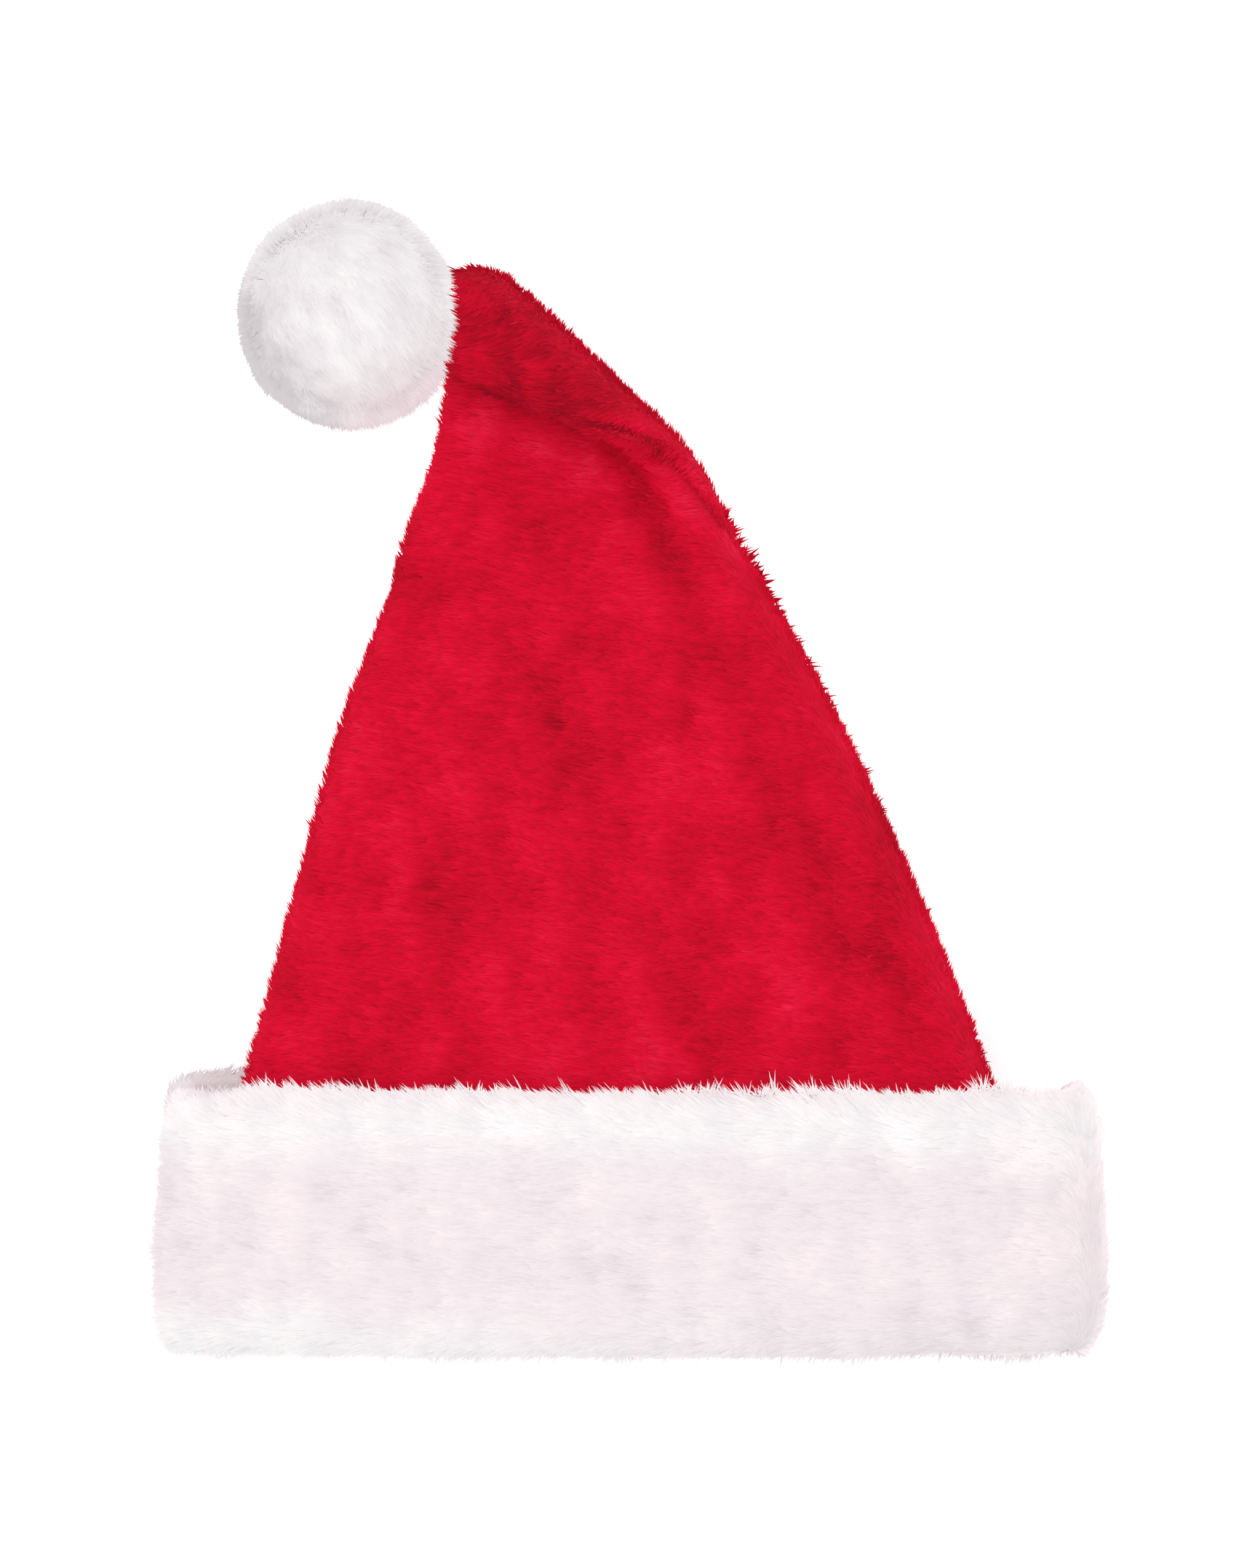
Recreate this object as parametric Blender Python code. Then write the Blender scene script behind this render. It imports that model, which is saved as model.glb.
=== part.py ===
# A plush Santa hat lying on its back, as it rests by itself: a red cone whose tip is folded over its
# front, a white turned-up cuff and a white pompom that holds the tip.
# Metres, +Z up from the surface it lies on, +Y from the cuff to the tip, +X to the right seen from above.

import math
import random
from collections import namedtuple

import bmesh
import bpy
from mathutils import Vector

MM = 0.001
GAP = 0.4 * MM  # between pieces that touch in the real hat

# Driving sizes of the real hat, pile included.
CUFF_WIDTH = 300 * MM
CUFF_HEIGHT = 90 * MM
CUFF_DEPTH = 66 * MM
CUFF_WALL = 14 * MM
CLOTH_WALL = 3 * MM
POMPOM_RADIUS = 35 * MM
LOCK_HEIGHT = 2.5 * MM  # of a lock of pile over the cloth that it grows from
LOCK_SHARES = (0.7, 1.1)  # the shortest and longest lock, against that height
LOCK_LEAN = 0.35
PILE = 0.8 * LOCK_HEIGHT  # what the locks add to a piece on average

# The crown as a cone laid flat and not yet folded, in millimetres, from the hem to the tip.
# up is the distance from the cuff's lower edge, left and right are the two outlines,
# low and high are the heights of its back and front over the surface, edge that of its side edges,
# and round shapes the back: 1 is an oval, less is flatter where it is lain on.
CrownRow = namedtuple("CrownRow", "up left right low high edge round")
CROWN_ROWS = (
    CrownRow(7, -132.0, 132.0, 13.0, 47.8, 30.5, 0.85),
    CrownRow(50, -127.0, 125.0, 13.0, 47.8, 30.5, 0.85),
    CrownRow(89, -120.4, 112.6, 12.0, 48.5, 27.0, 0.80),
    CrownRow(112, -114.5, 104.2, 2.5, 49.0, 20.0, 0.65),
    CrownRow(148, -105.6, 89.6, 0.0, 45.0, 14.0, 0.50),
    CrownRow(203, -90.3, 64.2, 0.0, 37.0, 10.0, 0.50),
    CrownRow(240, -76.6, 44.0, 0.0, 29.0, 6.0, 0.50),
    CrownRow(260, -71.0, 30.8, 0.0, 23.5, 5.0, 0.50),
    CrownRow(284, -62.5, 19.8, 0.0, 19.0, 4.5, 0.50),
    CrownRow(308, -58.0, 14.0, 0.0, 18.0, 4.5, 0.55),
    CrownRow(330, -55.5, 3.0, 0.0, 18.0, 6.0, 0.60),
    CrownRow(348, -51.0, -5.8, 0.0, 18.0, 10.0, 0.70),
    CrownRow(362, -46.0, -14.5, 1.0, 17.0, 11.0, 0.80),
    CrownRow(372, -42.0, -25.0, 3.0, 15.0, 10.0, 0.90),
    CrownRow(377, -38.0, -31.0, 6.0, 12.0, 9.0, 1.00),
)
CROWN_SIDES = 36
SIDE_FULLNESS = 0.82  # powers under 1 make a ring's section squarer than an ellipse
FRONT_FULLNESS = 0.68
EDGE_OVER_LOW = 0.5  # at least this much, in millimetres, between a ring's side edges and its lowest line
BODY_STEP = 9.0  # between the crown's rings, in millimetres up the hat
TURN_STEP = 4.0
TURN_FROM = 252.0  # the rings are closer from here to the tip, where the cloth folds
INNER_STEP = 8.0
CLOSING_FROM = 250.0  # the hollow narrows from here, where front and back come together below the fold
INNER_TOP = 298.0
CLOSED_WALL = 6.5 * MM  # the wall's thickness at the hollow's end

# The tip turns forward round a level line over the crown.
FOLD_POINT = Vector((-30.5, 307.0)) * MM
FOLD_OUTWARD = Vector((math.cos(math.radians(47)), math.sin(math.radians(47))))
FOLD_HEIGHT = 19.5 * MM
FOLD_RADIUS = 10.5 * MM  # at the cloth's mid thickness, so that its length is kept

# Soft valleys in the front of the crown: the middle, the direction and how far they reach, in millimetres.
Dent = namedtuple("Dent", "x up angle_deg reach width depth")
DENTS = (
    Dent(10, 266, -62, 30, 8, 5.5),
    Dent(-30, 284, -20, 30, 8, 2.0),
    Dent(66, 150, -64, 50, 11, 3.0),
    Dent(-20, 190, 80, 40, 16, 1.6),
    Dent(-62, 140, 75, 36, 12, 1.4),
    Dent(25, 120, 95, 26, 14, 1.5),
)

# The cuff: its outline seen along the hat is a flattened ring, its wall a soft roll.
CUFF_STATIONS = 52
CUFF_LEVELS = (0.0, 0.025, 0.09, 0.24, 0.40, 0.56, 0.72, 0.87, 0.965, 1.0)  # shares of its height
CUFF_ROUNDING = 8  # the wall keeps its thickness for most of the height
CUFF_SQUARENESS = 2.9  # 2 is an ellipse
CUFF_TOP_NARROWER = 4.5 * MM  # each side, where the turned-up edge is drawn in
CUFF_FRONT_DROP = 3.5 * MM  # the front's upper edge under the back's, at the middle
CUFF_FRONT_SLOPE = 2 * MM  # lower still at +X, higher at -X
CUFF_SETTLED = 1.5 * MM  # how much the pile under it is pressed flat
CUFF_BARE_UNDER = -0.6  # faces that look down more than this have no locks

# The pompom, slightly taller than wide and pressed flat below.
POMPOM_CENTRE = Vector((-89.9, 327.5, 32.6)) * MM
POMPOM_STRETCH = (0.97, 1.03, 0.99)
POMPOM_DIVISIONS = 3
POMPOM_BARE_UNDER = -0.9
SOCKET_FROM = 300.0  # up the unfolded cone, in millimetres: past here the tip may be in the pompom
SOCKET_GAP = 1.5 * GAP


def material(name, colour, roughness):
    """A matte cloth of one colour."""
    made = bpy.data.materials.new(name)
    made.use_nodes = True
    shader = made.node_tree.nodes["Principled BSDF"]
    shader.inputs["Base Color"].default_value = (*colour, 1)
    shader.inputs["Roughness"].default_value = roughness
    shader.inputs["Metallic"].default_value = 0
    return made


def add_object(name, bm, cloth):
    """The finished solid as a named, smoothly shaded object."""
    bmesh.ops.recalc_face_normals(bm, faces=bm.faces)
    mesh = bpy.data.meshes.new(name)
    bm.to_mesh(mesh)
    bm.free()
    mesh.materials.append(cloth)
    mesh.shade_smooth()
    made = bpy.data.objects.new(name, mesh)
    bpy.context.scene.collection.objects.link(made)
    return made


def steps(first, last, spacing):
    """Evenly spaced values from first to last, no further apart than spacing."""
    count = math.ceil((last - first) / spacing)
    return [first + (last - first) * i / count for i in range(count + 1)]


def crown_row(up):
    """The crown's sizes at any distance up the hat, on a smooth curve through the table's rows."""
    rows = CROWN_ROWS
    i = max(j for j in range(len(rows) - 1) if rows[j].up <= up or j == 0)
    before, start, end, after = rows[max(i - 1, 0)], rows[i], rows[i + 1], rows[min(i + 2, len(rows) - 1)]
    length = end.up - start.up
    t = (up - start.up) / length
    values = []
    for b, s, e, a in zip(before, start, end, after):
        leave = (e - b) / (end.up - before.up) * length
        arrive = (a - s) / (after.up - start.up) * length
        values.append(
            s * (2 * t**3 - 3 * t**2 + 1) + leave * (t**3 - 2 * t**2 + t)
            + e * (3 * t**2 - 2 * t**3) + arrive * (t**3 - t**2)
        )
    return CrownRow(*values)


def dent_depth(x, up):
    """How far the front of the crown lies below its plain dome at a place on the unfolded cone."""
    depth = 0
    for dent in DENTS:
        turn = math.radians(dent.angle_deg)
        along = (x - dent.x) * math.cos(turn) + (up - dent.up) * math.sin(turn)
        across = (up - dent.up) * math.cos(turn) - (x - dent.x) * math.sin(turn)
        depth += dent.depth * math.exp(-((along / dent.reach) ** 2) - (across / dent.width) ** 2)
    return depth


def fold_over(point):
    """Where a point of the unfolded cone goes once the tip is turned forward over the fold line."""
    ahead = (point.xy - FOLD_POINT).dot(FOLD_OUTWARD)
    if ahead <= 0:
        return point
    reach = FOLD_HEIGHT - point.z
    turn = min(ahead / FOLD_RADIUS, math.pi)
    beyond = ahead - FOLD_RADIUS * turn
    place = point.xy + FOLD_OUTWARD * (reach * math.sin(turn) - beyond - ahead)
    return Vector((*place, FOLD_HEIGHT - reach * math.cos(turn)))


def crown_ring(up, inset):
    """One closed ring of points round the crown, inset millimetres inside its outer surface."""
    row = crown_row(up)
    middle = (row.left + row.right) / 2
    half = (row.right - row.left) / 2 - inset
    low = max(row.low, 0) + inset
    edge = max(row.edge, low + EDGE_OVER_LOW)
    ring = []
    for i in range(CROWN_SIDES):
        angle = 2 * math.pi * i / CROWN_SIDES
        c, s = math.cos(angle), math.sin(angle)
        x = middle + half * math.copysign(abs(c) ** SIDE_FULLNESS, c)
        if s >= 0:
            rise = s**FRONT_FULLNESS
            z = edge + (row.high - inset - edge - dent_depth(x, up)) * rise
        else:
            z = edge - (edge - low) * abs(s) ** row.round
        ring.append(fold_over(Vector((x, up, z)) * MM))
    return ring


def bridge_rings(bm, rings):
    """Quads between each ring of vertices and the next."""
    for lower, upper in zip(rings, rings[1:]):
        for i in range(len(lower)):
            j = (i + 1) % len(lower)
            bm.faces.new((lower[i], lower[j], upper[j], upper[i]))


def hollow_inset(up):
    """The thickness of the wall between the crown's outer surface and its hollow, in millimetres."""
    closing = max(0, up - CLOSING_FROM) / (INNER_TOP - CLOSING_FROM)
    return (CLOTH_WALL + (CLOSED_WALL - CLOTH_WALL) * closing) / MM


def crown_shell(bm, ups, inset_at):
    """The crown's surface through the given distances up the hat, closed at its upper end."""
    rings = [[bm.verts.new(p) for p in crown_ring(up, inset_at(up))] for up in ups]
    bridge_rings(bm, rings)
    bm.faces.new(rings[-1])
    return rings


def outer_ups():
    first, last = CROWN_ROWS[0].up, CROWN_ROWS[-1].up
    return steps(first, TURN_FROM, BODY_STEP)[:-1] + steps(TURN_FROM, last, TURN_STEP)


def build_crown(cloth):
    """The red cone: a hollow cloth wall, open at the hem, with its tip folded over."""
    bm = bmesh.new()
    outer = crown_shell(bm, outer_ups(), lambda up: 0)
    inner = crown_shell(bm, steps(CROWN_ROWS[0].up, INNER_TOP, INNER_STEP), hollow_inset)
    bridge_rings(bm, [outer[0], inner[0]])
    return add_object("crown", bm, cloth)


def cuff_wall_point(angle, level, side):
    """A point of the cuff's wall: angle goes round the head opening, side is 1 outside and -1 inside."""
    half_wall = CUFF_WALL / 2
    across = CUFF_WIDTH / 2 - PILE - half_wall - CUFF_TOP_NARROWER * level**2
    tall = (CUFF_DEPTH - PILE) / 2 - half_wall
    power = 2 / CUFF_SQUARENESS
    c, s = math.cos(angle), math.sin(angle)
    x = across * math.copysign(abs(c) ** power, c)
    z = tall * math.copysign(abs(s) ** power, s)
    slope = Vector((
        math.copysign(abs(x / across) ** (CUFF_SQUARENESS - 1), c) / across,
        math.copysign(abs(z / tall) ** (CUFF_SQUARENESS - 1), s) / tall,
    )).normalized()
    thick = half_wall * math.sqrt(max(0, 1 - abs(2 * level - 1) ** CUFF_ROUNDING))
    out = slope * thick * side
    height = z + out.y + tall + half_wall - CUFF_SETTLED
    drop = (CUFF_FRONT_DROP + CUFF_FRONT_SLOPE * c) * max(s, 0) ** power
    up = PILE + (CUFF_HEIGHT - 2 * PILE - drop) * level
    return Vector((x + out.x, up, max(height, 0)))


def raise_locks(bm, faces, seed):
    """Draws the middle of each face out into a lock of pile, which leans a little its own way."""
    pile = random.Random(seed)
    for face in faces:
        lean = Vector(pile.uniform(-LOCK_LEAN, LOCK_LEAN) for _ in range(3))
        height = LOCK_HEIGHT * pile.uniform(*LOCK_SHARES)
        tip = face.calc_center_median() + (face.normal + lean) * height
        tip.z = max(tip.z, 0)
        corners = list(face.verts)
        bm.faces.remove(face)
        middle = bm.verts.new(tip)
        for i, corner in enumerate(corners):
            bm.faces.new((corner, corners[(i + 1) % len(corners)], middle))


def build_cuff(cloth):
    """The white cuff: a padded band round the hem, its pile drawn out in locks where it isn't lain on."""
    bm = bmesh.new()
    walls = CUFF_LEVELS[1:-1]
    section = [(CUFF_LEVELS[0], 1)] + [(v, 1) for v in walls] + [(CUFF_LEVELS[-1], 1)]
    section += [(v, -1) for v in reversed(walls)]
    strips = []
    for i in range(CUFF_STATIONS):
        angle = 2 * math.pi * i / CUFF_STATIONS
        strips.append([bm.verts.new(cuff_wall_point(angle, level, side)) for level, side in section])
    bridge_rings(bm, strips + strips[:1])
    bmesh.ops.recalc_face_normals(bm, faces=bm.faces)
    last_outer = len(walls) + 1
    outer = {v for strip in strips for v in strip[: last_outer + 1]}
    furry = [f for f in bm.faces if all(v in outer for v in f.verts) and f.normal.z > CUFF_BARE_UNDER]
    raise_locks(bm, furry, seed=7)
    return add_object("cuff", bm, cloth)


def tip_cutter():
    """The folded tip a gap larger all round, which shapes the pompom's socket. It isn't part of the hat."""
    bm = bmesh.new()
    ups = [up for up in outer_ups() if up > SOCKET_FROM] + [CROWN_ROWS[-1].up + SOCKET_GAP / MM]
    rings = crown_shell(bm, ups, lambda up: -SOCKET_GAP / MM)
    bm.faces.new(rings[0])
    cutter = add_object("tip_cutter", bm, None)
    cutter.hide_render = True
    cutter.display_type = "WIRE"
    return cutter


def build_pompom(cloth, cutter):
    """The white ball of pile, with the socket that the crown's tip is sewn into."""
    bm = bmesh.new()
    bmesh.ops.create_icosphere(bm, subdivisions=POMPOM_DIVISIONS, radius=POMPOM_RADIUS - PILE)
    for vertex in bm.verts:
        stretched = Vector(a * b for a, b in zip(vertex.co, POMPOM_STRETCH))
        vertex.co = stretched + POMPOM_CENTRE
        vertex.co.z = max(vertex.co.z, 0)
    bm.normal_update()
    furry = [f for f in bm.faces if f.normal.z > POMPOM_BARE_UNDER]
    raise_locks(bm, furry, seed=3)
    ball = add_object("pompom", bm, cloth)
    socket = ball.modifiers.new("socket", "BOOLEAN")
    socket.operation = "DIFFERENCE"
    socket.object = cutter
    return ball


def rest_on_origin(pieces, cutter):
    """Moves the hat so that the origin is the middle of its footprint's box, on the surface."""
    corners = [v.co for piece in pieces for v in piece.data.vertices]
    middle = Vector((
        (min(c.x for c in corners) + max(c.x for c in corners)) / 2,
        (min(c.y for c in corners) + max(c.y for c in corners)) / 2,
        min(c.z for c in corners),
    ))
    for moved in [*pieces, cutter]:
        for vertex in moved.data.vertices:
            vertex.co -= middle


def main():
    for old in list(bpy.data.objects):
        bpy.data.objects.remove(old)
    red_plush = material("red_plush", (0.62, 0.006, 0.025), 0.9)
    white_plush = material("white_plush", (0.88, 0.84, 0.85), 0.95)
    crown = build_crown(red_plush)
    cuff = build_cuff(white_plush)
    cutter = tip_cutter()
    pompom = build_pompom(white_plush, cutter)
    rest_on_origin([crown, cuff, pompom], cutter)


main()
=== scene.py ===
import math

import bmesh
import bpy
import numpy as np
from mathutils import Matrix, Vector, noise


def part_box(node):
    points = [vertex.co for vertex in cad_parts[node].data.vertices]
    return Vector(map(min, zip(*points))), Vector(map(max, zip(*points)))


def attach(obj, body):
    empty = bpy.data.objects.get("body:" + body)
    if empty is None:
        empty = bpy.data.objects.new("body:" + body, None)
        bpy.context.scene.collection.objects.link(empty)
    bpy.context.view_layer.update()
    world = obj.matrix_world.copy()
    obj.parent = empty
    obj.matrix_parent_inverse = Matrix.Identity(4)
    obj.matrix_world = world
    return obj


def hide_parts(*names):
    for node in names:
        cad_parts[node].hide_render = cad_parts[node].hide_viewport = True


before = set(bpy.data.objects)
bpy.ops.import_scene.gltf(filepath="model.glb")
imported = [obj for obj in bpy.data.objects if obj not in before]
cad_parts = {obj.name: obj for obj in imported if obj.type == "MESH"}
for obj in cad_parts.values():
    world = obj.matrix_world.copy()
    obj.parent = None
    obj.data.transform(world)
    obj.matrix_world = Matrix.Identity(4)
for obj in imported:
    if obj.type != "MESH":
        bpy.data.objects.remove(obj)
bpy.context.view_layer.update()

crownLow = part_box("crown")[0]
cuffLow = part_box("cuff")[0]

# The hat's own sizes are in millimetres, x from its middle and up from the cuff's lower edge.
mm = 0.001
crownStart = (-132.0, 7.0)  # the crown's left end and its hem
ballCentre = (-89.9, 327.5, 32.6)  # the pompom's middle
hatZero = np.array((crownLow.x - crownStart[0] * mm, crownLow.y - crownStart[1] * mm, 0.0))
ballMiddle = np.array(ballCentre) * mm + hatZero

# A point of the photo, as seen on the hat: pixels of the 1725 by 2156 picture.
photo = {"pixel": 0.2276, "column": 867.0, "row": 1872.0}


def fromPhoto(points):
    flat = np.array(points, float)
    x = (flat[:, 0] - photo["column"]) * photo["pixel"]
    y = (photo["row"] - flat[:, 1]) * photo["pixel"]
    return np.stack((x * mm, y * mm + cuffLow.y), axis=1)


def smooth(low, high, value):
    # 0 at low and 1 at high, with soft ends
    t = np.clip((value - low) / (high - low), 0, 1)
    return t * t * (3 - 2 * t)


def unit(vectors):
    return vectors / np.maximum(np.linalg.norm(vectors, axis=-1, keepdims=True), 1e-12)


def lumps(points, size, seed):
    # soft noise from -1 to 1 with bumps of about that size in metres
    return np.array([noise.noise(Vector(p) / size + Vector((seed, 0, 0))) for p in points])


def spaced(first, last, step):
    return np.linspace(first, last, math.ceil((last - first) / step) + 1)


def ringMesh(name, grid, joined=False):
    # a closed skin through rings of points: the last ring joins the first, or else a cap closes each end
    rings, sides = grid.shape[:2]
    faces = []
    for r in range(rings if joined else rings - 1):
        n = (r + 1) % rings
        for i in range(sides):
            j = (i + 1) % sides
            faces.append((r * sides + i, r * sides + j, n * sides + j, n * sides + i))
    if not joined:
        faces += [tuple(range(sides)), tuple(range((rings - 1) * sides, rings * sides))]
    mesh = bpy.data.meshes.new(name)
    mesh.from_pydata(grid.reshape(-1, 3).tolist(), [], faces)
    built = bmesh.new()
    built.from_mesh(mesh)
    bmesh.ops.recalc_face_normals(built, faces=built.faces)
    built.to_mesh(mesh)
    built.free()
    mesh.shade_smooth()
    return mesh


def addObject(name, mesh, finishes=()):
    for finish in finishes:
        mesh.materials.append(finish)
    made = bpy.data.objects.new(name, mesh)
    bpy.context.scene.collection.objects.link(made)
    return made


def evaluatedMesh(made):
    # the object's mesh as its modifiers leave it
    bpy.context.view_layer.update()
    return bpy.data.meshes.new_from_object(made.evaluated_get(bpy.context.evaluated_depsgraph_get()))


def readVectors(items, name):
    flat = np.zeros(len(items) * 3, np.float32)
    items.foreach_get(name, flat)
    return flat.reshape(-1, 3).astype(float)


def vertexArray(mesh):
    return readVectors(mesh.vertices, "co")


def normalArray(mesh):
    return readVectors(mesh.vertex_normals, "vector")


def setVertices(mesh, points):
    mesh.vertices.foreach_set("co", np.asarray(points, np.float32).ravel())
    mesh.update()


def setAttribute(mesh, name, values):
    values = np.asarray(values, np.float32)
    kind = "FLOAT_VECTOR" if values.ndim == 2 else "FLOAT"
    layer = mesh.attributes.get(name) or mesh.attributes.new(name, kind, "POINT")
    layer.data.foreach_set("vector" if values.ndim == 2 else "value", values.ravel())


# Node trees


def linear(code):
    # an sRGB hex code as linear red, green, blue and 1
    parts = [int(code[i:i + 2], 16) / 255 for i in (1, 3, 5)]
    return (*[p / 12.92 if p <= 0.04045 else ((p + 0.055) / 1.055) ** 2.4 for p in parts], 1)


def addNode(tree, kind, sockets=None, **settings):
    # sockets maps an input's name or number to a value or to another node's output
    node = tree.nodes.new(kind)
    for name, value in settings.items():
        setattr(node, name, value)
    for name, value in (sockets or {}).items():
        if isinstance(value, bpy.types.NodeSocket):
            tree.links.new(value, node.inputs[name])
        else:
            node.inputs[name].default_value = value
    return node


# what the pile of all three pieces has in common
growth = {
    "lengths": (0.72, 1.15),  # the shortest and longest strands, by their piece's own length
    "flatter": -0.8,  # takes most of a bend's rise out of it, so that bends stay in the skin's plane
    "droop": 0.35,  # how far loose strands sink at the outlines
    "faceUp": 1.8,  # how far faces at the outlines turn towards the sky
    "floorGap": 0.15,  # in mm, between the strands and what the hat lies on
}


def pileTree():
    # strands of pile on a skin: the skin's own attributes say where they grow, how they lie and how long
    # they are
    tree = bpy.data.node_groups.new("pile", "GeometryNodeTree")
    named = {
        "Skin": "Geometry", "Strand": "Object", "Density": "Float", "Length": "Float", "Width": "Float",
        "Clump": "Float", "Clump size": "Float", "Swirl": "Float", "Swirl size": "Float", "Stray": "Float",
        "Tufts": "Float", "Mottling": "Float", "Patch size": "Float", "Twist": "Float", "Seed": "Int",
        "Finish": "Material",
    }
    for name, kind in named.items():
        tree.interface.new_socket(name, in_out="INPUT", socket_type="NodeSocket" + kind)
    tree.interface.new_socket("Pile", in_out="OUTPUT", socket_type="NodeSocketGeometry")
    given = tree.nodes.new("NodeGroupInput").outputs
    position = addNode(tree, "GeometryNodeInputPosition").outputs[0]

    def stored(name, kind="FLOAT"):
        node = addNode(tree, "GeometryNodeInputNamedAttribute", {"Name": name}, data_type=kind)
        return node.outputs["Attribute"]

    def number(operation, *values):
        return addNode(tree, "ShaderNodeMath", dict(enumerate(values)), operation=operation).outputs[0]

    def vector(operation, *values, scale=None):
        node = addNode(tree, "ShaderNodeVectorMath", dict(enumerate(values)), operation=operation)
        if scale is not None:
            tree.links.new(scale, node.inputs["Scale"])
        return node.outputs["Value" if operation == "DOT_PRODUCT" else "Vector"]

    def random(low, high, offset, kind="FLOAT"):
        # a value of each strand's own; the offset keeps one such value apart from the next
        first = 0 if kind == "FLOAT_VECTOR" else 2
        sockets = {first: low, first + 1: high, "Seed": number("ADD", given["Seed"], offset)}
        return addNode(tree, "FunctionNodeRandomValue", sockets, data_type=kind).outputs[first // 2]

    def softNoise(size, detail, spread=(1, 1, 1)):
        # a noise as a value and as a colour
        place = vector("MULTIPLY", position, spread)
        node = addNode(tree, "ShaderNodeTexNoise", {
            "Vector": place, "Scale": number("DIVIDE", 1.0, size), "Detail": detail})
        return node.outputs[0], node.outputs[1]

    def wander(source, amount):
        # a noise colour as a direction either way
        centred = vector("SUBTRACT", source, (0.5, 0.5, 0.5))
        return vector("SCALE", centred, scale=number("MULTIPLY", amount, 2.0))

    def around(value, amount):
        # a noise value either way
        return number("MULTIPLY", number("SUBTRACT", value, 0.5), amount)

    grown = addNode(tree, "GeometryNodeDistributePointsOnFaces", {
        "Mesh": given["Skin"],
        "Density": number("MULTIPLY", given["Density"], stored("pile")),
        "Seed": given["Seed"],
    })
    skin = stored("skin", "FLOAT_VECTOR")
    clumpValue, clumpColour = softNoise(given["Clump size"], 1.0)
    swirlColour = softNoise(given["Swirl size"], 1.0)[1]
    patchValue = softNoise(given["Patch size"], 2.5, (1.0, 0.6, 1.0))[0]
    fineValue = softNoise(number("MULTIPLY", given["Clump size"], 0.6), 1.0, (0.35, 1.0, 1.0))[0]

    # which way each strand goes
    bend = vector("ADD", wander(clumpColour, given["Clump"]), wander(swirlColour, given["Swirl"]))
    sideways = number("MULTIPLY", vector("DOT_PRODUCT", bend, skin), growth["flatter"])
    bend = vector("ADD", bend, vector("SCALE", skin, scale=sideways))
    stray = random((-1, -1, -1), (1, 1, 1), 1.0, "FLOAT_VECTOR")
    bend = vector("ADD", bend, vector("SCALE", stray, scale=given["Stray"]))
    way = vector("ADD", stored("comb", "FLOAT_VECTOR"), vector("SCALE", skin, scale=stored("stand")))
    way = vector("ADD", way, bend)
    isLoose = number("LESS_THAN", random(0.0, 1.0, 5.0), stored("loose"))
    way = addNode(tree, "GeometryNodeSwitch", {
        "Switch": isLoose, "False": way, "True": vector("ADD", stored("tuft", "FLOAT_VECTOR"), bend),
    }, input_type="VECTOR").outputs[0]
    # no strand dips into the skin
    rise = vector("DOT_PRODUCT", way, skin)
    lift = number("MAXIMUM", number("SUBTRACT", stored("least"), rise), 0.0)
    way = vector("ADD", way, vector("SCALE", skin, scale=lift))
    along = addNode(tree, "FunctionNodeAlignRotationToVector", {"Vector": way}, axis="Z", pivot_axis="AUTO")
    twist = random((-1, -1, -1), (1, 1, 1), 2.0, "FLOAT_VECTOR")
    face = stored("face", "FLOAT_VECTOR")
    facing = vector("ADD", face, vector("SCALE", twist, scale=given["Twist"]))
    turned = addNode(tree, "FunctionNodeAlignRotationToVector", {
        "Rotation": along.outputs["Rotation"], "Vector": facing}, axis="X", pivot_axis="Z")

    # how long it is, and its tint: 0.5 for the middle of the material's tints
    tuft = number("ADD", 1.0, around(clumpValue, given["Tufts"]))
    length = number("MULTIPLY", given["Length"], stored("size"))
    length = number("MULTIPLY", length, number("MULTIPLY", random(*growth["lengths"], 3.0), tuft))
    scale = addNode(tree, "ShaderNodeCombineXYZ", {"X": length, "Y": given["Width"], "Z": length}).outputs[0]
    patch = around(patchValue, number("MULTIPLY", given["Mottling"], 2.2))
    fine = around(fineValue, given["Mottling"])
    each = number("MULTIPLY", number("MULTIPLY", random(-0.5, 0.5, 4.0), 0.5), given["Mottling"])
    tint = number("ADD", number("ADD", number("ADD", patch, fine), each), 0.5)
    # the skin's painted shade darkens the tint, and its painted light, a shade below 0, lightens it
    tint = number("SUBTRACT", tint, stored("shade"))
    marked = addNode(tree, "GeometryNodeStoreNamedAttribute", {
        "Geometry": grown.outputs["Points"], "Name": "tint", "Value": tint,
    }, data_type="FLOAT", domain="POINT")

    strandShape = addNode(tree, "GeometryNodeObjectInfo", {"Object": given["Strand"]})
    placed = addNode(tree, "GeometryNodeInstanceOnPoints", {
        "Points": marked.outputs["Geometry"], "Instance": strandShape.outputs["Geometry"],
        "Rotation": turned.outputs["Rotation"], "Scale": scale})
    real = addNode(tree, "GeometryNodeRealizeInstances", {"Geometry": placed.outputs["Instances"]})
    # a face that looks into the skin, or down where the skin faces up, is turned over, or it would show
    # its unlit side
    skinUp = number("MULTIPLY", number("MAXIMUM", vector("DOT_PRODUCT", face, (0.0, 0.0, 1.0)), 0.0), 1.3)
    outside = vector("ADD", face, vector("SCALE", (0.0, 0.0, 1.0), scale=skinUp))
    looks = vector("DOT_PRODUCT", addNode(tree, "GeometryNodeInputNormal").outputs["Normal"], outside)
    turnedOver = addNode(tree, "GeometryNodeFlipFaces", {
        "Mesh": real.outputs["Geometry"], "Selection": number("LESS_THAN", looks, 0.0)})
    finished = addNode(tree, "GeometryNodeSetMaterial", {
        "Geometry": turnedOver.outputs["Mesh"], "Material": given["Finish"]})
    tree.links.new(finished.outputs["Geometry"], tree.nodes.new("NodeGroupOutput").inputs["Pile"])
    return tree


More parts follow.
